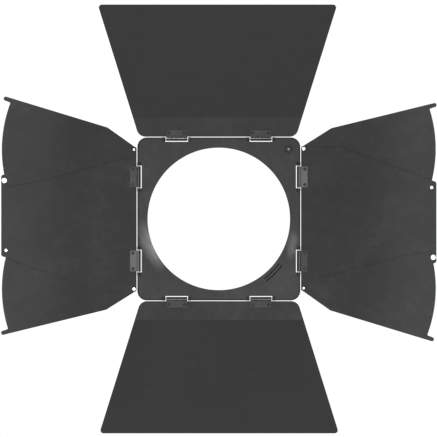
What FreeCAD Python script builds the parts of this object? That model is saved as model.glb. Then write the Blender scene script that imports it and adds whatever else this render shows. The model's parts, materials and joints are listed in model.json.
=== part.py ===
import FreeCAD, Part
import math
import os
import Sketcher

# Barn door attachment for a stage light: a square frame that carries four hinged doors.
#
# Millimetres. The light shines towards -Y, +X is to the right seen from the front and +Z is up. The
# origin is the centre of the rear face of the mounting rim. The doors are drawn open flat.
#
# Every door is drawn standing up from the top of the frame and then turned about Y to its own side.
# The depth of a piece is its distance in front of the rear face of the mounting rim, so depth is -Y.

# Driving dimensions: cell name, value (mm or degrees), what it is.
DIMENSIONS = [
    ("frame_side", 310.0, "outer side of the square frame"),
    ("frame_corner", 18.0, "outer corner radius of the frame"),
    ("frame_sheet", 1.2, "sheet thickness of the frame"),
    ("frame_flange", 6.0, "depth of the folded edge, front face to lip"),
    ("frame_bend", 3.0, "outer radius where the edge is folded"),
    ("opening_radius", 135.5, "radius of the round beam opening"),
    ("rim_radius", 151.5, "outer radius of the mounting rim"),
    ("rim_sheet", 1.5, "sheet thickness of the rim and of the neck ring"),
    ("neck_depth", 9.0, "distance between the rim and the frame plate"),
    ("spring_angle", 44.6, "where the lanced spring strip sits, below the horizontal"),
    ("spring_spread", 8.2, "half of the angle that the spring strip covers"),
    ("spring_inner", 142.0, "inner radius of the inner slit of the spring strip"),
    ("spring_width", 4.5, "metal left between the two slits"),
    ("slit_width", 1.6, "width of each slit"),
    ("stud_place", 132.6, "distance of the corner stud from both centre lines"),
    ("stud_radius", 2.4, "shank radius of the stud"),
    ("stud_play", 0.2, "clearance of the stud in the frame plate"),
    ("stud_head_radius", 4.5, "head radius of the stud, behind the plate"),
    ("stud_head_height", 2.4, "head height of the stud"),
    ("stud_end", 0.7, "length of the stud that stands out of its cap"),
    ("stud_end_round", 0.6, "rounding of the stud's end"),
    ("stud_washer_radius", 6.5, "outer radius of the washer under the stud's head"),
    ("stud_washer_sheet", 1.0, "thickness of that washer"),
    ("cap_radius", 7.6, "outer radius of the cap that is pressed onto the stud"),
    ("cap_height", 2.2, "height of the cap"),
    ("cap_round", 1.5, "rounding of the cap's edge"),
    ("axis_reach", 152.0, "distance of each hinge axis from the centre"),
    ("hinge_place", 80.0, "distance of each hinge from the middle of its side"),
    ("pin_radius", 2.2, "radius of the hinge pins"),
    ("pin_play", 0.05, "radial running clearance round the hinge pins"),
    ("pin_end", 0.4, "chamfer on the ends of the pins"),
    ("notch_length", 43.0, "length of the notch in the frame at each hinge"),
    ("notch_reach", 146.7, "inner edge of the notch, from the centre"),
    ("lug_length", 6.0, "length of the rolled lug at each end of a pin"),
    ("strap_sheet", 1.4, "sheet thickness of the hinge straps"),
    ("strap_length", 40.0, "length of a strap along its pin"),
    ("strap_step", 1.7, "backward step of the strap, which clears folded leaves"),
    ("strap_reach", 17.0, "outer edge of the strap, from the hinge axis"),
    ("strap_corner", 2.5, "corner radius of the strap"),
    ("curl_angle", 165.0, "where the curl ends, measured forward from the back of the pin"),
    ("rivet_reach", 11.6, "strap rivets, from the hinge axis"),
    ("rivet_spacing", 30.0, "distance between the two rivets of a strap"),
    ("rivet_shank", 1.5, "shank radius of the strap rivets"),
    ("rivet_head", 2.9, "head radius of the strap rivets"),
    ("rivet_height", 1.0, "head height of the strap rivets"),
    ("rivet_tail", 2.4, "radius of the set end of the strap rivets"),
    ("rivet_tail_height", 0.8, "height of the set end of the strap rivets"),
    ("door_sheet", 1.0, "sheet thickness of the doors"),
    ("door_edge", 4.4, "hinge edge of every door, from the hinge axis"),
    ("bend_reach", 40.5, "bend of a large door, from the hinge axis"),
    ("bend_angle", 12.0, "forward bend of a large door"),
    ("bend_inner", 2.0, "inner radius of the bend"),
    ("door_reach", 254.2, "outer edge of a large door, from the hinge axis"),
    ("door_narrow", 149.5, "half width of a large door at its hinge edge"),
    ("door_wide", 227.0, "half width of a large door at its outer edge"),
    ("door_hinge_corner", 17.0, "corner radius of a large door at its hinge edge"),
    ("door_outer_corner", 6.0, "corner radius of a large door at its outer edge"),
    ("top_door_shift", -2.5, "sideways place of the top door on its straps"),
    ("bottom_door_shift", -0.6, "sideways place of the bottom door on its straps"),
    ("panel_half", 137.5, "half width of a side panel at its hinge edge"),
    ("panel_shoulder", 76.0, "where a side panel starts to taper, from the hinge axis"),
    ("panel_reach", 262.0, "outer edge of a side panel, from the hinge axis"),
    ("panel_front_tab", 83.0, "outer corner of a side panel on its front leaf's side"),
    ("panel_rear_tab", 70.3, "outer corner of a side panel on its rear leaf's side"),
    ("panel_corner", 4.5, "corner radius of a side panel"),
    ("pivot_reach", 9.3, "leaf pivots, from the hinge axis"),
    ("front_pivot_side", 131.8, "pivot of a front leaf, from the middle of the side panel"),
    ("rear_pivot_side", 133.4, "pivot of a rear leaf, from the middle of the side panel"),
    ("pivot_shank", 1.6, "shank radius of the pivot and guide rivets"),
    ("pivot_play", 0.05, "radial running clearance of a leaf on its pivot"),
    ("pivot_head", 3.6, "head radius of the pivot rivets"),
    ("pivot_tail", 2.5, "radius of the set end of the pivot rivets"),
    ("leaf_sheet", 0.8, "sheet thickness of the leaves"),
    ("leaf_play", 0.05, "play beside a leaf, next to its washer and its rivet head"),
    ("washer_sheet", 0.5, "thickness of the friction washer under a leaf"),
    ("washer_radius", 3.3, "outer radius of the friction washer"),
    ("leaf_radius", 251.5, "radius of a leaf's curved outer edge, about its pivot"),
    ("stop_angle", 20.8, "where the stop hook meets the curved edge"),
    ("tail_angle", 16.1, "where the curved edge ends, on the other side"),
    ("leaf_edge", 4.5, "hinge edge of a leaf, from its pivot"),
    ("leaf_rise", 3.2, "corner of a leaf above its pivot"),
    ("leaf_cut", 3.5, "start of the slanted corner cut, below the pivot"),
    ("cut_reach", 1.6, "end of the slanted corner cut, along the leaf"),
    ("cut_drop", 11.3, "end of the slanted corner cut, below the pivot"),
    ("knee_reach", 186.7, "knee of a leaf's inner edge, along the leaf"),
    ("knee_drop", 60.9, "knee of a leaf's inner edge, below the pivot"),
    ("bend_out", 50.6, "shoulder of a leaf's outer edge, along the leaf"),
    ("bend_rise", 42.3, "shoulder of a leaf's outer edge, above the pivot"),
    ("hook_reach", 246.6, "outer corner of the stop hook, along the leaf"),
    ("hook_rise", 101.9, "outer corner of the stop hook, above the pivot"),
    ("hook_width", 7.6, "width of the stop hook"),
    ("hook_slope", 16.9, "slope of the stop hook against the leaf"),
    ("hook_round", 3.7, "rounding of the hook's tip"),
    ("leaf_round", 2.0, "rounding of a leaf's other corners"),
    ("front_guide_radius", 253.5, "guide rivet of a front leaf, from its pivot"),
    ("front_guide_angle", 13.4, "guide rivet of a front leaf, below its pivot"),
    ("rear_guide_radius", 254.6, "guide rivet of a rear leaf, from its pivot"),
    ("rear_guide_angle", 16.8, "guide rivet of a rear leaf, below its pivot"),
    ("rear_leaf_turn", 3.2, "how much less a rear leaf is spread than a front leaf"),
    ("guide_flange", 5.3, "head radius of the guide rivets, over the leaf's edge"),
    ("guide_tail", 3.2, "radius of the set end of the guide rivets"),
    ("head_height", 1.1, "head height of the pivot and guide rivets"),
    ("tail_height", 0.9, "height of the set end of the pivot and guide rivets"),
]

# The four sides of the frame and how far a door turns about Y to get there from the top.
SIDES = {"top": 0, "right": 90, "bottom": 180, "left": -90}

# The two ends of each side, in the order that its pieces are drawn in, from -X to +X.
ENDS = {
    "top": ("left", "right"),
    "right": ("upper", "lower"),
    "bottom": ("right", "left"),
    "left": ("lower", "upper"),
}

LAP = 10.0  # how far a cutting outline runs past the metal that it trims


class Size:
    """A length or angle that keeps both its spreadsheet formula and its present value."""

    def __init__(self, formula, value):
        self.formula = formula
        self.value = value

    def __add__(self, other):
        other = size(other)
        return Size(f"({self.formula} + {other.formula})", self.value + other.value)

    def __sub__(self, other):
        other = size(other)
        return Size(f"({self.formula} - {other.formula})", self.value - other.value)

    def __mul__(self, other):
        other = size(other)
        return Size(f"({self.formula} * {other.formula})", self.value * other.value)

    def __truediv__(self, other):
        other = size(other)
        return Size(f"({self.formula} / {other.formula})", self.value / other.value)

    def __neg__(self):
        return size(-1.0) * self


def size(number):
    """A plain number as a Size; a Size stays as it is."""
    if isinstance(number, Size):
        return number
    return Size(f"({number})", float(number))


def sine(angle):
    return Size(f"sin({angle.formula})", math.sin(math.radians(angle.value)))


def cosine(angle):
    return Size(f"cos({angle.formula})", math.cos(math.radians(angle.value)))


def tangent(angle):
    return Size(f"tan({angle.formula})", math.tan(math.radians(angle.value)))


def make_sheet():
    """Write the driving dimensions into the spreadsheet and return them by name."""
    sheet = doc.addObject("Spreadsheet::Sheet", "dim")
    cells = {}
    for row, (name, value, meaning) in enumerate(DIMENSIONS, start=1):
        sheet.set(f"A{row}", meaning)
        sheet.set(f"B{row}", str(value))
        sheet.setAlias(f"B{row}", name)
        cells[name] = Size(f"dim.{name}", value)
    doc.recompute()
    return cells


def bind(target, path, amount):
    """Tie one property of a document object to its formula."""
    target.setExpression(path, size(amount).formula)


def new_body(name):
    body = doc.addObject("PartDesign::Body", name)
    body.Label = name
    return body


def origin_feature(body, role):
    return next(item for item in body.Origin.OriginFeatures if item.Role == role)


def new_sketch(body, plane, offset=0.0):
    """A sketch on one of the body's own planes, moved along the plane's normal."""
    sketch = body.newObject("Sketcher::SketchObject", f"{body.Name}_sketch")
    sketch.AttachmentSupport = [(origin_feature(body, plane), "")]
    sketch.MapMode = "FlatFace"
    bind(sketch, "AttachmentOffset.Base.z", offset)
    return sketch


def constrain(sketch, kind, geometry, amount):
    """Add one dimension to a sketch and tie it to its formula."""
    number = sketch.addConstraint(Sketcher.Constraint(kind, *geometry, amount.value))
    bind(sketch, f"Constraints[{number}]", amount)


def fix_point(sketch, edge, end, x, y):
    """Dimension a point from the sketch's origin."""
    for kind, axis, amount in (("DistanceX", -2, size(x)), ("DistanceY", -1, size(y))):
        if amount.value == 0.0:
            sketch.addConstraint(Sketcher.Constraint("PointOnObject", edge, end, axis))
        else:
            constrain(sketch, kind, (-1, 1, edge, end), amount)


def draw_circle(sketch, x, y, radius):
    centre = FreeCAD.Vector(size(x).value, size(y).value, 0)
    circle = Part.Circle(centre, FreeCAD.Vector(0, 0, 1), radius.value)
    edge = sketch.addGeometry(circle, False)
    fix_point(sketch, edge, 3, x, y)
    constrain(sketch, "Radius", (edge,), radius)


def arc_through(start, end, radius, clockwise, centre):
    """A circular arc between two points of a circle."""
    first = math.atan2(start.y - centre.y, start.x - centre.x)
    last = math.atan2(end.y - centre.y, end.x - centre.x)
    if clockwise:
        first, last = last, first
    circle = Part.Circle(centre, FreeCAD.Vector(0, 0, 1), radius)
    return Part.ArcOfCircle(circle, first, last)


def draw_outline(sketch, corners):
    """Draw a closed outline.

    A corner is (x, y), or (x, y, radius, clockwise, centre) where an arc leads from it to the next
    corner. An arc without a centre turns about the sketch's origin.
    """
    points = [FreeCAD.Vector(size(c[0]).value, size(c[1]).value, 0) for c in corners]
    ends = []
    for index, corner in enumerate(corners):
        start = points[index]
        end = points[(index + 1) % len(corners)]
        if len(corner) == 2:
            edge = sketch.addGeometry(Part.LineSegment(start, end), False)
            ends.append((edge, 1, 2))
            continue
        radius, clockwise = corner[2], corner[3]
        x, y = corner[4] if len(corner) == 5 else (0, 0)
        centre = FreeCAD.Vector(size(x).value, size(y).value, 0)
        arc = arc_through(start, end, radius.value, clockwise, centre)
        edge = sketch.addGeometry(arc, False)
        constrain(sketch, "Radius", (edge,), radius)
        ends.append((edge, 2, 1) if clockwise else (edge, 1, 2))
    for index, corner in enumerate(corners):
        edge, first, last = ends[index]
        next_edge, next_first, _ = ends[(index + 1) % len(corners)]
        fix_point(sketch, edge, first, corner[0], corner[1])
        joint = Sketcher.Constraint("Coincident", edge, last, next_edge, next_first)
        sketch.addConstraint(joint)


def rectangle(left, right, low, high):
    return [(left, low), (right, low), (right, high), (left, high)]


def pad(body, sketch, length, both_ways=False):
    """Add metal along the sketch's normal, or half to each side of it."""
    feature = body.newObject("PartDesign::Pad", f"{body.Name}_pad")
    feature.Profile = sketch
    feature.Midplane = both_ways
    bind(feature, "Length", length)
    doc.recompute()
    return feature


def pocket(body, sketch, depth=None, forward=False):
    """Cut away metal behind the sketch, or in front of it. With no depth the cut goes right through."""
    before = body.Shape.Volume
    feature = body.newObject("PartDesign::Pocket", f"{body.Name}_cut")
    feature.Profile = sketch
    feature.Reversed = forward
    if depth is None:
        feature.Type = "ThroughAll"
    else:
        bind(feature, "Length", depth)
    doc.recompute()
    if body.Shape.Volume > before - 1e-6:
        raise RuntimeError(f"a cut in {body.Label} removes nothing")
    return feature


def revolve(body, sketch):
    """Turn a profile right round the Y axis, which is the sketch's horizontal axis."""
    feature = body.newObject("PartDesign::Revolution", f"{body.Name}_turn")
    feature.Profile = sketch
    feature.ReferenceAxis = (sketch, ["H_Axis"])
    feature.Angle = 360
    doc.recompute()
    return feature


def round_edges(body, radius, chosen):
    """Round the edges of the body that the test picks out."""
    base = body.Tip
    edges = enumerate(base.Shape.Edges, start=1)
    names = [f"Edge{number}" for number, edge in edges if chosen(edge)]
    if not names:
        raise RuntimeError(f"{body.Label} has no edge to round there")
    fillet = body.newObject("PartDesign::Fillet", f"{body.Name}_round")
    fillet.Base = (base, names)
    bind(fillet, "Radius", radius)
    doc.recompute()
    return fillet


def through_edges_at(corners):
    """Pick the edges that run through the sheet, along Y, at the given (x, z) corners."""

    def chosen(edge):
        first, last = edge.Vertexes[0].Point, edge.Vertexes[-1].Point
        if abs(first.x - last.x) > 1e-3 or abs(first.z - last.z) > 1e-3:
            return False
        places = [(size(x).value, size(z).value) for x, z in corners]
        return any(math.hypot(first.x - x, first.z - z) < 1e-2 for x, z in places)

    return chosen


def edges_along_x(corner):
    """Pick the edges that run along X at one (y, z) corner of a side profile."""
    y, z = corner[0].value, corner[1].value

    def chosen(edge):
        return all(math.hypot(v.Y - y, v.Z - z) < 1e-2 for v in edge.Vertexes)

    return chosen


def short_edges_near(corners):
    """Pick the edges across the sheet of a bent panel, near the given (x, z) corners."""
    places = [(size(x).value, size(z).value) for x, z in corners]
    reach = cell["door_sheet"].value

    def chosen(edge):
        if edge.Length > reach * 1.1:
            return False
        middle = edge.CenterOfMass
        return any(math.hypot(middle.x - x, middle.z - z) < reach for x, z in places)

    return chosen


def rim_edges(radius, y):
    """Pick the full circles of one radius about the Y axis, at one height along it."""

    def chosen(edge):
        if not isinstance(edge.Curve, Part.Circle):
            return False
        at_height = abs(edge.Curve.Center.y - y.value) < 1e-3
        return at_height and abs(edge.Curve.Radius - radius.value) < 1e-3

    return chosen


def place(body, side, x=0.0, y=0.0, z=0.0, spin=None):
    """Put a body that is drawn at the top of the frame onto one side of it."""
    turn = SIDES[side]
    across, up = round(math.cos(math.radians(turn))), round(math.sin(math.radians(turn)))
    bind(body, "Placement.Base.x", size(x) * across + size(z) * up)
    bind(body, "Placement.Base.y", y)
    bind(body, "Placement.Base.z", size(z) * across - size(x) * up)
    rotation = FreeCAD.Rotation(FreeCAD.Vector(0, 1, 0), turn)
    if spin is not None:
        rotation = rotation.multiply(spin)
    body.Placement.Rotation = rotation


def half_turn():
    """The turn that puts a sheet part on its other face, or a rivet in from the other side."""
    return FreeCAD.Rotation(FreeCAD.Vector(0, 0, 1), 180)


# ---------------------------------------------------------------- depths, in front of the rim's rear face


def plate_back():
    return cell["rim_sheet"] + cell["neck_depth"]


def plate_front():
    return plate_back() + cell["frame_sheet"]


def axis_depth():
    """The pins lie on the front of the frame plate."""
    return plate_front() + curl_inner()


def curl_inner():
    return cell["pin_radius"] + cell["pin_play"]


def strap_front():
    """The front of the flat of a strap, which lies on the front of its door."""
    return axis_depth() - curl_inner() - cell["strap_step"]


def door_front():
    return strap_front() - cell["strap_sheet"]


def door_back():
    return door_front() - cell["door_sheet"]


def leaf_middle(front):
    """The middle of the sheet of a leaf that lies in front of or behind its panel."""
    gap = cell["washer_sheet"] + cell["leaf_play"] + cell["leaf_sheet"] * 0.5
    return door_front() + gap if front else door_back() - gap


def leaf_grip():
    """The length of a pivot or guide rivet between its head and its set end."""
    play = cell["leaf_play"] * 2
    return cell["door_sheet"] + cell["washer_sheet"] + cell["leaf_sheet"] + play


# --------------------------------------------------------------------------------- frame and mounting ring


def rounded_square(half, corner):
    """The outline of a square about the origin, with round corners."""
    inner = half - corner
    outline = []
    for x, y in ((1, 1), (-1, 1), (-1, -1), (1, -1)):
        on_side = (half * x, inner * y)
        on_end = (inner * x, half * y)
        start, end = (on_side, on_end) if x == y else (on_end, on_side)
        outline.append((*start, corner, False, (inner * x, inner * y)))
        outline.append(end)
    return outline


def make_frame_plate():
    """A pressed square plate with a folded edge, notches for the straps and rolled lugs for the pins."""
    body = new_body("frame_plate")
    lip = plate_front() - cell["frame_flange"]
    half, corner, sheet = cell["frame_side"] * 0.5, cell["frame_corner"], cell["frame_sheet"]
    sketch = new_sketch(body, "XZ_Plane", lip)
    draw_outline(sketch, rounded_square(half, corner))
    pad(body, sketch, cell["frame_flange"])
    front = -plate_front().value
    fold = cell["frame_bend"]
    round_edges(body, fold, lambda edge: all(abs(v.Y - front) < 1e-3 for v in edge.Vertexes))
    sketch = new_sketch(body, "XZ_Plane", lip)
    draw_outline(sketch, rounded_square(half - sheet, corner - sheet))
    pocket(body, sketch, cell["frame_flange"] - sheet, forward=True)
    back = -plate_back().value
    round_edges(body, fold - sheet, lambda edge: all(abs(v.Y - back) < 1e-3 for v in edge.Vertexes))

    sketch = new_sketch(body, "XZ_Plane", plate_front())
    draw_circle(sketch, 0, 0, cell["opening_radius"])
    pocket(body, sketch)
    notches = cut_notches(body)
    lugs = add_lugs(body)
    pattern = body.newObject("PartDesign::PolarPattern", "frame_plate_sides")
    pattern.Originals = [notches] + lugs
    pattern.Axis = (origin_feature(body, "Y_Axis"), [""])
    pattern.Angle = 360
    pattern.Occurrences = len(SIDES)
    body.Tip = pattern
    doc.recompute()
    cut_spring_strip(body)
    sketch = new_sketch(body, "XZ_Plane", plate_front())
    hole = cell["stud_radius"] + cell["stud_play"]
    draw_circle(sketch, cell["stud_place"], cell["stud_place"], hole)
    pocket(body, sketch)


def cut_notches(body):
    """The two notches of the top edge, open at the edge, where the straps curl round their pins."""
    sketch = new_sketch(body, "XZ_Plane", plate_front())
    half = cell["notch_length"] * 0.5
    for place_x in (-cell["hinge_place"], cell["hinge_place"]):
        top = cell["frame_side"] * 0.5 + LAP
        draw_outline(sketch, rectangle(place_x - half, place_x + half, cell["notch_reach"], top))
    return pocket(body, sketch)


def add_lugs(body):
    """The four lugs of the top edge: the sheet rolled forward round the ends of the two pins."""
    lugs = []
    half = cell["notch_length"] * 0.5
    for middle in (-cell["hinge_place"], cell["hinge_place"]):
        for start in (middle - half - cell["lug_length"], middle + half):
            sketch = new_sketch(body, "YZ_Plane", start)
            centre = (-axis_depth(), cell["axis_reach"])
            draw_circle(sketch, *centre, curl_inner() + cell["frame_sheet"])
            draw_circle(sketch, *centre, curl_inner())
            lugs.append(pad(body, sketch, cell["lug_length"]))
    return lugs


def cut_spring_strip(body):
    """Two curved slits, concentric with the opening, that leave a springy strip between them."""
    first = -cell["spring_angle"] - cell["spring_spread"]
    last = -cell["spring_angle"] + cell["spring_spread"]
    sketch = new_sketch(body, "XZ_Plane", plate_front())
    step = cell["slit_width"] + cell["spring_width"]
    for inner in (cell["spring_inner"], cell["spring_inner"] + step):
        outer = inner + cell["slit_width"]
        corners = [
            (outer * cosine(first), outer * sine(first), outer, False),
            (outer * cosine(last), outer * sine(last)),
            (inner * cosine(last), inner * sine(last), inner, True),
            (inner * cosine(first), inner * sine(first)),
        ]
        draw_outline(sketch, corners)
    pocket(body, sketch)


def make_neck_ring():
    """The rolled ring that stands the rim off the frame, tack-welded to both."""
    body = new_body("neck_ring")
    sketch = new_sketch(body, "XZ_Plane", cell["rim_sheet"])
    draw_circle(sketch, 0, 0, cell["opening_radius"] + cell["rim_sheet"])
    draw_circle(sketch, 0, 0, cell["opening_radius"])
    pad(body, sketch, cell["neck_depth"])


def make_mounting_rim():
    """The flat rim that drops into the accessory holder of the light."""
    body = new_body("mounting_rim")
    sketch = new_sketch(body, "XZ_Plane")
    draw_circle(sketch, 0, 0, cell["rim_radius"])
    draw_circle(sketch, 0, 0, cell["opening_radius"])
    pad(body, sketch, cell["rim_sheet"])


def make_corner_stud():
    """A headed stud through one corner of the plate, its washer behind and the cap pressed on in front."""
    corner = cell["stud_place"]
    underside = plate_back() - cell["stud_washer_sheet"]
    stud = new_body("corner_stud")
    sketch = new_sketch(stud, "YZ_Plane")
    sheets = cell["stud_washer_sheet"] + cell["frame_sheet"]
    end = sheets + cell["cap_height"] + cell["stud_end"]
    corners = [
        (-cell["stud_head_height"], 0),
        (-cell["stud_head_height"], cell["stud_head_radius"]),
        (0, cell["stud_head_radius"]),
        (0, cell["stud_radius"]),
        (end, cell["stud_radius"]),
        (end, 0),
    ]
    draw_outline(sketch, corners)
    revolve(stud, sketch)
    head = rim_edges(cell["stud_head_radius"], -cell["stud_head_height"])
    round_edges(stud, cell["stud_head_height"] * 0.7, head)
    round_edges(stud, cell["stud_end_round"], rim_edges(cell["stud_radius"], end))
    place(stud, "top", corner, -underside, corner, half_turn())

    washer = new_body("corner_stud_washer")
    sketch = new_sketch(washer, "XZ_Plane")
    draw_circle(sketch, 0, 0, cell["stud_washer_radius"])
    draw_circle(sketch, 0, 0, cell["stud_radius"])
    pad(washer, sketch, cell["stud_washer_sheet"])
    place(washer, "top", corner, -underside, corner)

    cap = new_body("corner_stud_cap")
    sketch = new_sketch(cap, "XZ_Plane")
    draw_circle(sketch, 0, 0, cell["cap_radius"])
    draw_circle(sketch, 0, 0, cell["stud_radius"])
    pad(cap, sketch, cell["cap_height"])
    round_edges(cap, cell["cap_round"], rim_edges(cell["cap_radius"], -cell["cap_height"]))
    place(cap, "top", corner, -plate_front(), corner)


# -------------------------------------------------------------------------------------------- hinges


def make_hinge_pin(side, end, middle):
    """A pin that lies on the frame plate, held at both ends in the rolled lugs."""
    body = new_body(f"{side}_hinge_pin_{end}")
    sketch = new_sketch(body, "YZ_Plane")
    draw_circle(sketch, 0, 0, cell["pin_radius"])
    pin = pad(body, sketch, cell["notch_length"] + cell["lug_length"] * 2, both_ways=True)
    chamfer = body.newObject("PartDesign::Chamfer", f"{body.Name}_ends")
    circles = enumerate(pin.Shape.Edges, start=1)
    ends = [f"Edge{number}" for number, edge in circles if len(edge.Vertexes) == 1]
    chamfer.Base = (pin, ends)
    bind(chamfer, "Size", cell["pin_end"])
    doc.recompute()
    place(body, side, middle, -axis_depth(), cell["axis_reach"])


def make_hinge_strap(side, end, middle):
    """A strap curled round its pin, stepped back and laid flat on the front of its door."""
    body = new_body(f"{side}_hinge_strap_{end}")
    sketch = new_sketch(body, "YZ_Plane")
    inner = curl_inner()
    outer = inner + cell["strap_sheet"]
    step = cell["strap_step"]
    high, low = cell["strap_sheet"] * 1.4, cell["strap_sheet"]
    corners = [
        (inner * cosine(cell["curl_angle"]), inner * sine(cell["curl_angle"]), inner, False),
        (inner, 0),
        (inner, high),
        (inner + step, high + step),
        (inner + step, cell["strap_reach"]),
        (outer + step, cell["strap_reach"]),
        (outer + step, low + step),
        (outer, low),
        (outer, 0, outer, True),
        (outer * cosine(cell["curl_angle"]), outer * sine(cell["curl_angle"])),
    ]
    draw_outline(sketch, corners)
    pad(body, sketch, cell["strap_length"], both_ways=True)
    half = cell["strap_length"] * 0.5
    outer_corners = [(x, cell["strap_reach"]) for x in (-half, half)]
    round_edges(body, cell["strap_corner"], through_edges_at(outer_corners))
    sketch = new_sketch(body, "XZ_Plane")
    for x in (-cell["rivet_spacing"] * 0.5, cell["rivet_spacing"] * 0.5):
        draw_circle(sketch, x, cell["rivet_reach"], cell["rivet_shank"])
    pocket(body, sketch)
    place(body, side, middle, -axis_depth(), cell["axis_reach"])


def rivet(body, head, head_height, shank, grip, tail, tail_height):
    """A rivet along Y: its domed head in front of the origin, its set end past the grip."""
    sketch = new_sketch(body, "YZ_Plane")
    end = grip + tail_height
    corners = [
        (-head_height, 0),
        (-head_height, head),
        (0, head),
        (0, shank),
        (grip, shank),
        (grip, tail),
        (end, tail),
        (end, 0),
    ]
    draw_outline(sketch, corners)
    features = [revolve(body, sketch)]
    features.append(round_edges(body, head_height * 0.7, rim_edges(head, -head_height)))
    features.append(round_edges(body, tail_height * 0.6, rim_edges(tail, end)))
    return features


def make_strap_rivets(side):
    """The four rivets that hold the two straps of one door: separate solids in one group."""
    body = new_body(f"{side}_strap_rivets")
    grip = cell["strap_sheet"] + cell["door_sheet"]
    tail = (cell["rivet_tail"], cell["rivet_tail_height"])
    head = (cell["rivet_head"], cell["rivet_height"])
    one = rivet(body, *head, cell["rivet_shank"], grip, *tail)
    pattern = body.newObject("PartDesign::LinearPattern", f"{body.Name}_group")
    pattern.Originals = one
    pattern.Direction = (origin_feature(body, "X_Axis"), [""])
    pattern.Occurrences = 2
    bind(pattern, "Length", cell["rivet_spacing"])
    pattern.Direction2 = (origin_feature(body, "X_Axis"), [""])
    pattern.Occurrences2 = 2
    bind(pattern, "Length2", cell["hinge_place"] * 2)
    body.Tip = pattern
    doc.recompute()
    first = -cell["hinge_place"] - cell["rivet_spacing"] * 0.5
    place(body, side, first, -strap_front(), cell["axis_reach"] + cell["rivet_reach"])


def strap_hole_places():
    """The four strap rivets of a door, in the door's own plane."""
    reach = cell["axis_reach"] + cell["rivet_reach"]
    half = cell["rivet_spacing"] * 0.5
    middles = (-cell["hinge_place"], cell["hinge_place"])
    return [(middle + shift, reach) for middle in middles for shift in (-half, half)]


# ------------------------------------------------------------------------------------- large doors


def make_large_door(side):
    """A large flared door: a strip along its hinges, then the main panel bent a little forward."""
    body = new_body(f"{side}_door")
    angle, sheet = cell["bend_angle"], cell["door_sheet"]
    low = cell["axis_reach"] + cell["door_edge"]
    bend = cell["axis_reach"] + cell["bend_reach"]
    high = cell["axis_reach"] + cell["door_reach"]
    lean = (high - bend) * tangent(angle)
    front = -door_front()
    sketch = new_sketch(body, "YZ_Plane")
    corners = [
        (front, low),
        (front, bend),
        (front - lean, high),
        (front - lean + sheet * cosine(angle), high + sheet * sine(angle)),
        (front + sheet, bend + sheet * tangent(angle * 0.5)),
        (front + sheet, low),
    ]
    draw_outline(sketch, corners)
    pad(body, sketch, (cell["door_wide"] + LAP) * 2, both_ways=True)
    round_edges(body, cell["bend_inner"], edges_along_x(corners[1]))
    round_edges(body, cell["bend_inner"] + sheet, edges_along_x(corners[4]))

    narrow, wide = cell["door_narrow"], cell["door_wide"]
    shift = cell[f"{side}_door_shift"]
    slope = (wide - narrow) / (high - low)
    sketch = new_sketch(body, "XZ_Plane", lean - front + LAP)
    for hand in (-1, 1):
        outside = shift + (wide + LAP * 2) * hand
        wedge = [
            (shift + (narrow - slope * LAP) * hand, low - LAP),
            (shift + (wide + slope * LAP) * hand, high + LAP),
            (outside, high + LAP),
            (outside, low - LAP),
        ]
        draw_outline(sketch, wedge)
    pocket(body, sketch)
    hinge_corners = [(shift + narrow * hand, low) for hand in (-1, 1)]
    outer_corners = [(shift + wide * hand, high) for hand in (-1, 1)]
    round_edges(body, cell["door_hinge_corner"], short_edges_near(hinge_corners))
    round_edges(body, cell["door_outer_corner"], short_edges_near(outer_corners))

    sketch = new_sketch(body, "XZ_Plane", door_front())
    for x, z in strap_hole_places():
        draw_circle(sketch, x, z, cell["rivet_shank"])
    pocket(body, sketch, sheet)
    place(body, side)


# ------------------------------------------------------------------------- side doors and their leaves


def make_side_panel(side):
    """A flat side door: straight beside its hinges, then tapered, with holes for all its rivets."""
    body = new_body(f"{side}_door")
    low = cell["axis_reach"] + cell["door_edge"]
    shoulder = cell["axis_reach"] + cell["panel_shoulder"]
    high = cell["axis_reach"] + cell["panel_reach"]
    half = cell["panel_half"]
    corners = [
        (-half, low),
        (half, low),
        (half, shoulder),
        (cell["panel_front_tab"], high),
        (-cell["panel_rear_tab"], high),
        (-half, shoulder),
    ]
    sketch = new_sketch(body, "XZ_Plane", door_back())
    draw_outline(sketch, corners)
    pad(body, sketch, cell["door_sheet"])
    round_edges(body, cell["panel_corner"], through_edges_at(corners))
    sketch = new_sketch(body, "XZ_Plane", door_front())
    for x, z in strap_hole_places():
        draw_circle(sketch, x, z, cell["rivet_shank"])
    for front in (True, False):
        draw_circle(sketch, *pivot_place(front), cell["pivot_shank"])
        draw_circle(sketch, *guide_place(front), cell["pivot_shank"])
    pocket(body, sketch)
    place(body, side)


def pivot_place(front):
    """The pivot of the leaf in front of, or behind, a side panel."""
    across = cell["front_pivot_side"] if front else -cell["rear_pivot_side"]
    return across, cell["axis_reach"] + cell["pivot_reach"]


def guide_place(front):
    """The guide rivet that holds down the curved edge of a leaf."""
    name = "front_guide" if front else "rear_guide"
    radius, angle = cell[f"{name}_radius"], cell[f"{name}_angle"]
    across, reach = pivot_place(front)
    inward = radius * sine(angle)
    return across - inward if front else across + inward, reach + radius * cosine(angle)


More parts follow.
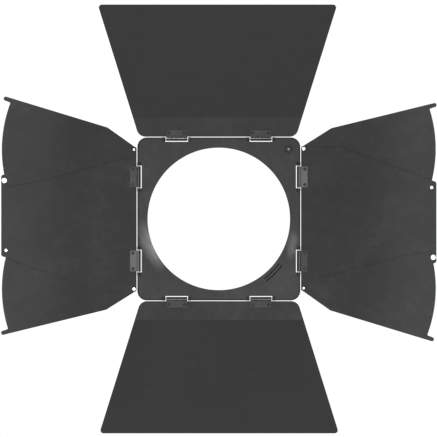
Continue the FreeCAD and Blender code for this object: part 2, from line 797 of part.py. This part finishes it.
def make_leaf(side, end, front):
    """A flat leaf that swings about one rivet, with a stop hook at the end of its curved edge."""
    body = new_body(f"{side}_leaf_{end}")
    radius = cell["leaf_radius"]
    stop, tail = cell["stop_angle"], cell["tail_angle"]
    slope = cell["hook_slope"]
    hook = (cell["hook_rise"], cell["hook_reach"])
    hook_end = (hook[0] - cell["hook_width"] * cosine(slope), hook[1] + cell["hook_width"] * sine(slope))
    curve_end = (-radius * sine(tail), radius * cosine(tail))
    corners = [
        (cell["leaf_rise"], -cell["leaf_edge"]),
        (cell["bend_rise"], cell["bend_out"]),
        hook,
        hook_end,
        (radius * sine(stop), radius * cosine(stop), radius, False),
        curve_end,
        (-cell["knee_drop"], cell["knee_reach"]),
        (-cell["cut_drop"], cell["cut_reach"]),
        (-cell["leaf_cut"], -cell["leaf_edge"]),
    ]
    sketch = new_sketch(body, "XZ_Plane")
    draw_outline(sketch, corners)
    pad(body, sketch, cell["leaf_sheet"], both_ways=True)
    round_edges(body, cell["hook_round"], through_edges_at([hook, hook_end]))
    others = [corner[:2] for corner in corners if corner not in (hook, hook_end)]
    round_edges(body, cell["leaf_round"], through_edges_at(others))
    sketch = new_sketch(body, "XZ_Plane", cell["leaf_sheet"])
    draw_circle(sketch, 0, 0, cell["pivot_shank"] + cell["pivot_play"])
    pocket(body, sketch)
    across, reach = pivot_place(front)
    spin = None
    if not front:
        less = FreeCAD.Rotation(FreeCAD.Vector(0, 1, 0), cell["rear_leaf_turn"].value)
        spin = less.multiply(half_turn())
    place(body, side, across, -leaf_middle(front), reach, spin)


def make_leaf_fittings(side, end, front):
    """The pivot rivet, friction washer and guide rivet of one leaf."""
    washer = new_body(f"{side}_leaf_washer_{end}")
    sketch = new_sketch(washer, "XZ_Plane")
    draw_circle(sketch, 0, 0, cell["washer_radius"])
    draw_circle(sketch, 0, 0, cell["pivot_shank"])
    pad(washer, sketch, cell["washer_sheet"])
    across, reach = pivot_place(front)
    washer_back = door_front() if front else door_back() - cell["washer_sheet"]
    place(washer, side, across, -washer_back, reach)

    # The large head of a pivot rivet bears on the panel, and that of a guide rivet holds down the leaf.
    near = door_back() if front else door_front()
    far = door_front() + leaf_grip() - cell["door_sheet"] if front else door_front() - leaf_grip()
    pivot = new_body(f"{side}_leaf_pivot_{end}")
    sizes = (cell["head_height"], cell["pivot_shank"], leaf_grip(), cell["pivot_tail"])
    rivet(pivot, cell["pivot_head"], *sizes, cell["tail_height"])
    place(pivot, side, across, -near, reach, half_turn() if front else None)

    across, reach = guide_place(front)
    guide = new_body(f"{side}_leaf_guide_{end}")
    sizes = (cell["head_height"], cell["pivot_shank"], leaf_grip(), cell["guide_tail"])
    rivet(guide, cell["guide_flange"], *sizes, cell["tail_height"])
    place(guide, side, across, -far, reach, None if front else half_turn())


# ------------------------------------------------------------------------------------- whole object


def make_everything():
    make_frame_plate()
    make_neck_ring()
    make_mounting_rim()
    make_corner_stud()
    for side, ends in ENDS.items():
        for end, hand in zip(ends, (-1, 1)):
            middle = cell["hinge_place"] * hand
            make_hinge_pin(side, end, middle)
            make_hinge_strap(side, end, middle)
        make_strap_rivets(side)
        if side in ("top", "bottom"):
            make_large_door(side)
            continue
        make_side_panel(side)
        for end, front in zip(ends, (False, True)):
            make_leaf(side, end, front)
            make_leaf_fittings(side, end, front)


def write_parts():
    """Check every object of the document, then write one STEP file for each body."""
    doc.recompute()
    for item in doc.Objects:
        if "Invalid" in item.State or "Error" in item.State:
            raise RuntimeError(f"{item.Label} did not compute: {item.State}")
    bodies = [item for item in doc.Objects if item.TypeId == "PartDesign::Body"]
    for body in bodies:
        if body.Shape.isNull() or not body.Shape.isValid():
            raise RuntimeError(f"{body.Label} has no valid shape")
    os.makedirs("parts", exist_ok=True)
    for body in bodies:
        body.Shape.exportStep(f"parts/{body.Label}.step")


doc = FreeCAD.newDocument("barn_door_attachment")
cell = make_sheet()
make_everything()
write_parts()
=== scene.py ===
import bpy
import json
import math
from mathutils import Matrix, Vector


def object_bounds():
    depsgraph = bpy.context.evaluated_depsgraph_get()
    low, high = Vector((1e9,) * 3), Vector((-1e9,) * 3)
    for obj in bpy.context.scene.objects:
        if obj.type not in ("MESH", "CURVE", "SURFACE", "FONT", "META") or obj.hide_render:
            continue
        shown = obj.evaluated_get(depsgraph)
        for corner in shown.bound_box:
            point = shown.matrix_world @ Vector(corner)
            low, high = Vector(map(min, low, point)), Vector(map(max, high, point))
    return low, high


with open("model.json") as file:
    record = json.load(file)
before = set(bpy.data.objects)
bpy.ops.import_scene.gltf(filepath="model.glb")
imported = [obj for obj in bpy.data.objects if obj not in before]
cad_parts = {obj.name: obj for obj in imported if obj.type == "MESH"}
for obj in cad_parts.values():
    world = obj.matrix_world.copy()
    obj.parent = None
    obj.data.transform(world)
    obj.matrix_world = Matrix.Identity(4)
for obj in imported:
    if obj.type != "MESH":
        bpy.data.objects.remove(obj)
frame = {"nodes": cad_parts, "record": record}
nodes = frame["nodes"]
record = frame["record"]
cad_low, cad_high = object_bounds()

# ------------------------------------------------------------------------ dimensions, in metres

EDGE_SHADE = 0.0012
EDGE_RUB = 0.0003
PAINT_ROUND = 0.0007
METAL_ROUND = 0.00012
PLASTIC_EDGE = 0.0004
PLASTIC_ROUND = 0.0003
WAVE_DEPTH = 0.0006
SCRATCH_DEPTH = 0.00001
PIT_DEPTH = 0.00001
PLASTIC_GRAIN = 0.000012
CURL_SHADE_BLUR = 0.0006
OUTER_LIGHT_REACH = 0.47
HINGE_AXIS = next(
    joint["pos_m"][2] for joint in record["behaviour"]["joints"] if joint["name"] == "top_door_hinge"
)

FLOOR_DROP = 0.20
FLOOR_RADIUS = 1.7
FLOOR_SIDES = 96

CAMERA_SENSOR = 36.0
CAMERA_DISTANCE = 12.0
CAMERA_REACH = 60
CAMERA_SIDE = -0.0006
CAMERA_HEIGHT = 0.0008
DOOR_PLANE = -0.01
HALF_VIEW = 0.4156

# ------------------------------------------------------------------------------------ colours

WHITE = (1.0, 1.0, 1.0, 1.0)
DUST = (0.16, 0.155, 0.145)
FLOOR_DARK = (0.80, 0.80, 0.79)
FLOOR_LIGHT = (0.84, 0.84, 0.83)
CURL_SHADE_TONE = 0.003
COAT_ROUGHNESS = 0.22
SHARP_ANGLE = 32


def grey(value):
    return (value, value, value * 1.03)


# ------------------------------------------------------------------ shader building blocks


class Look:
    """One procedural material: a Principled shader and the nodes that feed it."""

    def __init__(self, name):
        self.material = bpy.data.materials.new(name)
        self.material.use_nodes = True
        self.tree = self.material.node_tree
        self.tree.nodes.clear()
        self.shader = self.node("ShaderNodeBsdfPrincipled")
        output = self.node("ShaderNodeOutputMaterial")
        self.link(self.shader.outputs["BSDF"], output.inputs["Surface"])
        self.place = self.node("ShaderNodeTexCoord").outputs["Object"]

    def node(self, kind, **settings):
        made = self.tree.nodes.new(kind)
        for key, value in settings.items():
            setattr(made, key, value)
        return made

    def link(self, source, target):
        self.tree.links.new(source, target)

    def colour(self, value):
        self.link(value, self.shader.inputs["Base Color"])

    def roughness(self, value):
        self.link(value, self.shader.inputs["Roughness"])

    def stretched(self, scale, turn):
        """Object coordinates, turned and then scaled by a different amount along each axis."""
        turned = self.node("ShaderNodeMapping")
        turned.inputs["Rotation"].default_value = turn
        self.link(self.place, turned.inputs["Vector"])
        scaled = self.node("ShaderNodeMapping")
        scaled.inputs["Scale"].default_value = scale
        self.link(turned.outputs["Vector"], scaled.inputs["Vector"])
        return scaled.outputs["Vector"]

    def noise(self, scale, detail, rough=0.5, vector=None, distortion=0.0):
        made = self.node("ShaderNodeTexNoise")
        made.inputs["Scale"].default_value = scale
        made.inputs["Detail"].default_value = detail
        made.inputs["Roughness"].default_value = rough
        made.inputs["Distortion"].default_value = distortion
        self.link(vector or self.place, made.inputs["Vector"])
        return made.outputs["Fac"]

    def lines(self, scale, turn, detail=2.0, rough=0.5, distortion=0.0):
        """Noise drawn out into fine lines."""
        return self.noise(1.0, detail, rough, self.stretched(scale, turn), distortion)

    def ramp(self, value, low, high, out_low=0.0, out_high=1.0):
        """Stretch the range from low to high over out_low to out_high, and hold it outside."""
        made = self.node("ShaderNodeMapRange", clamp=True, interpolation_type="SMOOTHSTEP")
        made.inputs["From Min"].default_value = low
        made.inputs["From Max"].default_value = high
        made.inputs["To Min"].default_value = out_low
        made.inputs["To Max"].default_value = out_high
        self.link(value, made.inputs["Value"])
        return made.outputs["Result"]

    def math(self, operation, *values):
        made = self.node("ShaderNodeMath", operation=operation)
        for socket, value in zip(made.inputs, values):
            if isinstance(value, (int, float)):
                socket.default_value = value
            else:
                self.link(value, socket)
        return made.outputs["Value"]

    def mix(self, factor, first, second):
        """Mix two colours. A colour is a tuple or another node's output."""
        made = self.node("ShaderNodeMix", data_type="RGBA")
        self.link(factor, made.inputs[0])
        for socket, value in ((made.inputs[6], first), (made.inputs[7], second)):
            if isinstance(value, tuple):
                socket.default_value = (*value, 1.0)
            else:
                self.link(value, socket)
        return made.outputs[2]

    def patch(self, centre, size, turn):
        """1 at a place on the object, falling to 0 at the rim of an ellipse drawn in the XZ plane."""
        local = self.node("ShaderNodeMapping", vector_type="TEXTURE")
        local.inputs["Location"].default_value = (centre[0], 0.0, centre[1])
        local.inputs["Rotation"].default_value = (0.0, turn, 0.0)
        local.inputs["Scale"].default_value = (size[0], 100.0, size[1])
        self.link(self.place, local.inputs["Vector"])
        length = self.node("ShaderNodeVectorMath", operation="LENGTH")
        self.link(local.outputs["Vector"], length.inputs[0])
        return self.ramp(length.outputs["Value"], 1.0, 0.0)

    def rounded_normal(self, radius):
        bevel = self.node("ShaderNodeBevel", samples=4)
        bevel.inputs["Radius"].default_value = radius
        return bevel.outputs["Normal"]

    def edges(self, radius, low, high):
        """1 on the sharp edges of a piece, 0 on its faces."""
        dot = self.node("ShaderNodeVectorMath", operation="DOT_PRODUCT")
        self.link(self.rounded_normal(radius), dot.inputs[0])
        self.link(self.node("ShaderNodeNewGeometry").outputs["Normal"], dot.inputs[1])
        return self.ramp(dot.outputs["Value"], high, low)

    def bumps(self, layers, edge_radius):
        """Stack height fields, each (value, depth in metres), on slightly rounded edges."""
        normal = self.rounded_normal(edge_radius)
        for value, depth in layers:
            bump = self.node("ShaderNodeBump")
            bump.inputs["Strength"].default_value = 1.0
            bump.inputs["Distance"].default_value = depth
            self.link(value, bump.inputs["Height"])
            self.link(normal, bump.inputs["Normal"])
            normal = bump.outputs["Normal"]
        self.link(normal, self.shader.inputs["Normal"])


# --------------------------------------------------------------------------------- painted sheet


def hairlines(look, strength):
    """Two crossing sets of hairline scratches, in patches."""
    rising = look.lines((9.0, 9.0, 620.0), (0.0, 0.5, 0.0), distortion=0.4)
    falling = look.lines((540.0, 9.0, 11.0), (0.0, -0.35, 0.0), distortion=0.4)
    both = look.math("MAXIMUM", look.ramp(rising, 0.70, 0.78), look.ramp(falling, 0.71, 0.79))
    patches = look.ramp(look.noise(11.0, 2.0), 0.45, 0.65)
    return look.math("MULTIPLY", look.math("MULTIPLY", both, patches), strength)


def painted_highlights(look, colour, highlight_patches, worn):
    """Painted highlights: streaky paler places standing in for the lights' reflection, each (centre,
    size, turn, strength).
    """
    streaks = look.lines((330.0, 9.0, 26.0), (0.0, 0.42, 0.0), 3.0, 0.6, 0.3)
    streaks = look.ramp(streaks, 0.30, 0.66, 0.45, 1.0)
    for centre, size, turn, strength in highlight_patches:
        highlight = look.math("MULTIPLY", look.patch(centre, size, turn), streaks)
        colour = look.mix(look.math("MULTIPLY", highlight, strength), colour, grey(worn * 2.5))
    return colour


def painted_outer_light(look, colour, tone):
    """Painted light: paler towards the outer end."""
    middle = look.patch((0.0, 0.0), (OUTER_LIGHT_REACH, OUTER_LIGHT_REACH * 4), 0.0)
    return look.mix(look.ramp(middle, 0.03, 0.40, 0.55, 0.0), colour, grey(tone * 4.4))


def painted_curl_shade(look, colour):
    """Painted shade: near-black on the frame's side of the hinge axis, over the strap's curl."""
    split = look.node("ShaderNodeSeparateXYZ")
    look.link(look.place, split.inputs["Vector"])
    across = look.math("ABSOLUTE", split.outputs["X"])
    along = look.math("ABSOLUTE", split.outputs["Z"])
    reach = look.math("MAXIMUM", across, along)
    curl_shade = look.ramp(reach, HINGE_AXIS - CURL_SHADE_BLUR, HINGE_AXIS + CURL_SHADE_BLUR, 0.92, 0.0)
    return look.mix(curl_shade, colour, grey(CURL_SHADE_TONE))


def painted(name, tone, worn, rough, grain, scratches, coat=0.0, highlight_patches=(), lit_outwards=False, curl_shaded=False):
    """Paint on sheet metal: cloudy tone, fine orange peel, rubbed edges and hairline scratches.

    tone is the paint's grey and worn the grey where it is rubbed. grain is the depth of the orange peel.
    """
    look = Look(name)
    cloud = look.noise(7.0, 3.0, 0.6)
    speck = look.noise(420.0, 2.0, 0.7)
    peel = look.noise(1500.0, 2.0, 0.6)
    dust = look.noise(60.0, 6.0, 0.75)
    scratch = hairlines(look, scratches)

    colour = look.mix(look.ramp(cloud, 0.3, 0.7), grey(tone * 0.86), grey(tone * 1.16))
    colour = look.mix(look.ramp(speck, 0.5, 0.75, 0.0, 0.35), colour, grey(tone * 1.5))
    colour = look.mix(look.ramp(dust, 0.55, 0.8, 0.0, 0.16), colour, DUST)
    colour = look.mix(scratch, colour, grey(worn * 0.8))
    # Painted light: the side pieces grow paler towards their outer ends.
    if lit_outwards:
        colour = painted_outer_light(look, colour, tone)
    # Painted highlights in places beside the frame's opening.
    if highlight_patches:
        colour = painted_highlights(look, colour, highlight_patches, worn)
    shade = look.edges(EDGE_SHADE, 0.86, 0.998)
    colour = look.mix(look.math("MULTIPLY", shade, 0.8), colour, grey(tone * 0.25))
    rub = look.math("MULTIPLY", look.edges(EDGE_RUB, 0.80, 0.95), look.ramp(dust, 0.50, 0.68))
    colour = look.mix(look.math("MULTIPLY", rub, 0.5), colour, grey(worn))
    # Painted shade over the hinge strap's curl, on the frame's side of the axis.
    if curl_shaded:
        colour = painted_curl_shade(look, colour)
    look.colour(colour)

    cloudy = look.ramp(cloud, 0.3, 0.7, -0.035, 0.035)
    dusty_spots = look.ramp(dust, 0.3, 0.7, -0.03, 0.05)
    dull = look.math("ADD", look.math("ADD", cloudy, dusty_spots), rough)
    look.roughness(look.math("SUBTRACT", dull, look.math("MULTIPLY", scratch, 0.12)))
    look.shader.inputs["Coat Weight"].default_value = coat
    look.shader.inputs["Coat Roughness"].default_value = COAT_ROUGHNESS
    look.bumps([(cloud, WAVE_DEPTH), (peel, grain), (scratch, -SCRATCH_DEPTH)], PAINT_ROUND)
    return look.material


# ------------------------------------------------------------------------- bare metal, plastic


def bare_metal(name, tone, rough, brushed):
    """Bare metal: faint brushing, small dents and dull patches."""
    look = Look(name)
    cloud = look.noise(240.0, 3.0, 0.6)
    lines = look.lines((2600.0, 300.0, 420.0), (0.3, 0.6, 0.2))
    pits = look.noise(1900.0, 2.0, 0.6)
    colour = look.mix(look.ramp(cloud, 0.35, 0.7), grey(tone * 0.8), grey(tone))
    rim = look.edges(EDGE_RUB, 0.85, 0.99)
    look.colour(look.mix(look.math("MULTIPLY", rim, 0.4), colour, grey(min(1.0, tone * 1.25))))
    look.roughness(look.ramp(lines, 0.3, 0.7, rough - 0.08, rough + 0.12))
    look.shader.inputs["Metallic"].default_value = 1.0
    look.bumps([(lines, SCRATCH_DEPTH * brushed), (pits, PIT_DEPTH)], METAL_ROUND)
    return look.material


def plastic(name, tone, rough, warm=1.0, rim=1.0):
    """Moulded plastic with a soft grain. Its corners are painted rim times as pale as its faces, a
    painted highlight.
    """
    look = Look(name)
    cloud = look.noise(180.0, 3.0, 0.6)
    fine = look.noise(1700.0, 2.0, 0.6)
    pale = (tone * warm, tone, tone / warm)
    deep = tuple(part * 0.86 for part in pale)
    colour = look.mix(look.ramp(cloud, 0.3, 0.7), deep, pale)
    # Painted highlight: corners paler than the faces by rim times.
    corner = look.edges(PLASTIC_EDGE, 0.80, 0.97)
    look.colour(look.mix(corner, colour, tuple(part * rim for part in pale)))
    look.roughness(look.ramp(cloud, 0.3, 0.7, rough - 0.05, rough + 0.07))
    look.bumps([(fine, PLASTIC_GRAIN)], PLASTIC_ROUND)
    return look.material


# --------------------------------------------------------------------------------- materials

# Painted highlights beside the opening: a strong one on the left, a weaker one on the right. The last is
# faint, lower right.
FRAME_HIGHLIGHTS = (
    ((-0.126, -0.050), (0.026, 0.060), -0.40, 1.0),
    ((0.140, -0.050), (0.014, 0.036), 0.15, 0.5),
    ((0.120, -0.120), (0.060, 0.060), 0.0, 0.08),
)

LOOKS = {
    "black_frame": painted(
        "frame_paint", tone=0.011, worn=0.13, rough=0.48, grain=0.000015, scratches=0.55,
        coat=0.04, highlight_patches=FRAME_HIGHLIGHTS,
    ),
    "black_door": painted(
        "door_paint", tone=0.016, worn=0.085, rough=0.50, grain=0.000022, scratches=0.30,
    ),
    # Side pieces: a darker copy of the door paint, as painted shade, with painted light towards their
    # outer ends.
    "side_door": painted(
        "side_paint", tone=0.012, worn=0.085, rough=0.52, grain=0.000022, scratches=0.30, lit_outwards=True,
    ),
    "grey_strap": painted(
        "strap_grey", tone=0.140, worn=0.30, rough=0.46, grain=0.000018, scratches=0.45, curl_shaded=True,
    ),
    "black_rivet": painted(
        "rivet_black", tone=0.004, worn=0.02, rough=0.44, grain=0.000003, scratches=0.1,
    ),
    "bright_rivet": bare_metal("rivet_metal", tone=0.78, rough=0.34, brushed=0.4),
    "pin_steel": bare_metal("pin_metal", tone=0.85, rough=0.36, brushed=1.0),
    "bright_steel": bare_metal("stud_metal", tone=0.17, rough=0.34, brushed=0.6),
    # The cap's paler corners are a painted highlight.
    "black_cap": plastic("cap_black", tone=0.012, rough=0.48, rim=3.0),
    "nylon": plastic("nylon_pale", tone=0.62, rough=0.45, warm=1.04),
    # Parts seen through the slits: a darker, rougher copy of the frame paint, as painted shade.
    "inner_frame": painted(
        "inner_paint", tone=0.009, worn=0.05, rough=0.68, grain=0.000015, scratches=0.2,
    ),
    "black_strap": painted(
        "strap_black", tone=0.028, worn=0.085, rough=0.42, grain=0.000012, scratches=0.40, curl_shaded=True,
    ),
}

SIDE_PIECES = (
    "left_door", "left_leaf_upper", "left_leaf_lower",
    "right_door", "right_leaf_upper", "right_leaf_lower",
)
slot_of = {part["node"]: part["material_slot"] for part in record["subparts"]}


def look_of(name):
    """A node's look: its slot's, apart from the side pieces and the parts behind the slits, which carry
    painted light and shade, and the black hinge straps, which have their own paint.
    """
    if name in SIDE_PIECES:
        return "side_door"
    if "hinge_strap" in name and slot_of[name] == "black_door":
        return "black_strap"
    # The neck ring and rim, seen through the slits, carry painted shade.
    if name in ("neck_ring", "mounting_rim"):
        return "inner_frame"
    return slot_of[name]


for name, node in nodes.items():
    node.data.materials.clear()
    node.data.materials.append(LOOKS[look_of(name)])
    node.data.shade_smooth()
    sharp = node.modifiers.new("sharp_edges", "EDGE_SPLIT")
    sharp.split_angle = math.radians(SHARP_ANGLE)

# ------------------------------------------------------------------------------------- floor

scene = bpy.context.scene


def floor_point(step):
    angle = 2 * math.pi * step / FLOOR_SIDES
    return (FLOOR_RADIUS * math.cos(angle), FLOOR_RADIUS * math.sin(angle), cad_low.z - FLOOR_DROP)


floor_mesh = bpy.data.meshes.new("floor")
floor_mesh.from_pydata([floor_point(k) for k in range(FLOOR_SIDES)], [], [list(range(FLOOR_SIDES))])
floor = bpy.data.objects.new("floor", floor_mesh)
scene.collection.objects.link(floor)
floor_look = Look("floor_pale")
floor_tone = floor_look.ramp(floor_look.noise(3.0, 3.0), 0.3, 0.7)
floor_look.colour(floor_look.mix(floor_tone, FLOOR_DARK, FLOOR_LIGHT))
floor_look.shader.inputs["Roughness"].default_value = 0.8
floor_mesh.materials.append(floor_look.material)

# ------------------------------------------------------------------------------------- world

world = bpy.data.worlds.new("studio")
scene.world = world
world.use_nodes = True
sky = world.node_tree
sky.nodes.clear()


def sky_range(value, low, high, out_low, out_high):
    made = sky.nodes.new("ShaderNodeMapRange")
    made.inputs["From Min"].default_value = low
    made.inputs["From Max"].default_value = high
    made.inputs["To Min"].default_value = out_low
    made.inputs["To Max"].default_value = out_high
    sky.links.new(value, made.inputs["Value"])
    return made.outputs["Result"]


# The light on the object grows with height and towards the back. What the camera sees is plain white.
direction = sky.nodes.new("ShaderNodeTexCoord")
split = sky.nodes.new("ShaderNodeSeparateXYZ")
total = sky.nodes.new("ShaderNodeMath")
total.operation = "ADD"
lit = sky.nodes.new("ShaderNodeBackground")
lit.inputs["Color"].default_value = WHITE
seen = sky.nodes.new("ShaderNodeBackground")
seen.inputs["Color"].default_value = WHITE
seen.inputs["Strength"].default_value = 1.04
path = sky.nodes.new("ShaderNodeLightPath")
blend = sky.nodes.new("ShaderNodeMixShader")
out = sky.nodes.new("ShaderNodeOutputWorld")
sky.links.new(direction.outputs["Generated"], split.inputs["Vector"])
sky.links.new(sky_range(split.outputs["Z"], -0.7, 0.8, 0.20, 0.36), total.inputs[0])
sky.links.new(sky_range(split.outputs["Y"], 0.0, 0.7, 0.0, 0.75), total.inputs[1])
sky.links.new(total.outputs["Value"], lit.inputs["Strength"])
sky.links.new(path.outputs["Is Camera Ray"], blend.inputs["Fac"])
sky.links.new(lit.outputs["Background"], blend.inputs[1])
sky.links.new(seen.outputs["Background"], blend.inputs[2])
sky.links.new(blend.outputs["Shader"], out.inputs["Surface"])

# ------------------------------------------------------------------------------------ lights


def softbox(name, place, width, tall, power):
    """A rectangular soft light, aimed at the origin, that the camera itself can't see."""
    data = bpy.data.lights.new(name, "AREA")
    data.shape = "RECTANGLE"
    data.size = width
    data.size_y = tall
    data.energy = power
    lamp = bpy.data.objects.new(name, data)
    lamp.location = place
    lamp.rotation_euler = (-Vector(place)).to_track_quat("-Z", "Y").to_euler()
    lamp.visible_camera = False
    scene.collection.objects.link(lamp)


softbox("key_above", (-0.5, -2.3, 3.2), width=1.5, tall=0.9, power=30)
softbox("front_wide", (0.0, -5.4, -0.05), width=2.2, tall=0.28, power=42)
softbox("low_front", (-0.02, -5.6, -0.5), width=0.9, tall=0.3, power=12)
softbox("side_left", (-2.6, -3.4, -0.1), width=0.8, tall=2.0, power=10)
softbox("side_right", (2.8, -3.4, -0.4), width=0.8, tall=2.0, power=10)
softbox("behind_right", (1.6, 3.0, 1.9), width=1.8, tall=1.2, power=60)
softbox("behind_left", (-2.4, 2.6, 0.5), width=0.9, tall=1.6, power=36)

# ------------------------------------------------------------------------------------ camera

scene.view_settings.view_transform = "Standard"
scene.view_settings.look = "None"

camera_data = bpy.data.cameras.new("camera")
camera_data.sensor_width = CAMERA_SENSOR
camera_data.lens = CAMERA_SENSOR / 2 * CAMERA_DISTANCE / HALF_VIEW
camera_data.clip_end = CAMERA_REACH
camera = bpy.data.objects.new("camera", camera_data)
camera.location = (CAMERA_SIDE, DOOR_PLANE - CAMERA_DISTANCE, CAMERA_HEIGHT)
camera.rotation_euler = (math.radians(90), 0, 0)
scene.collection.objects.link(camera)
scene.camera = camera
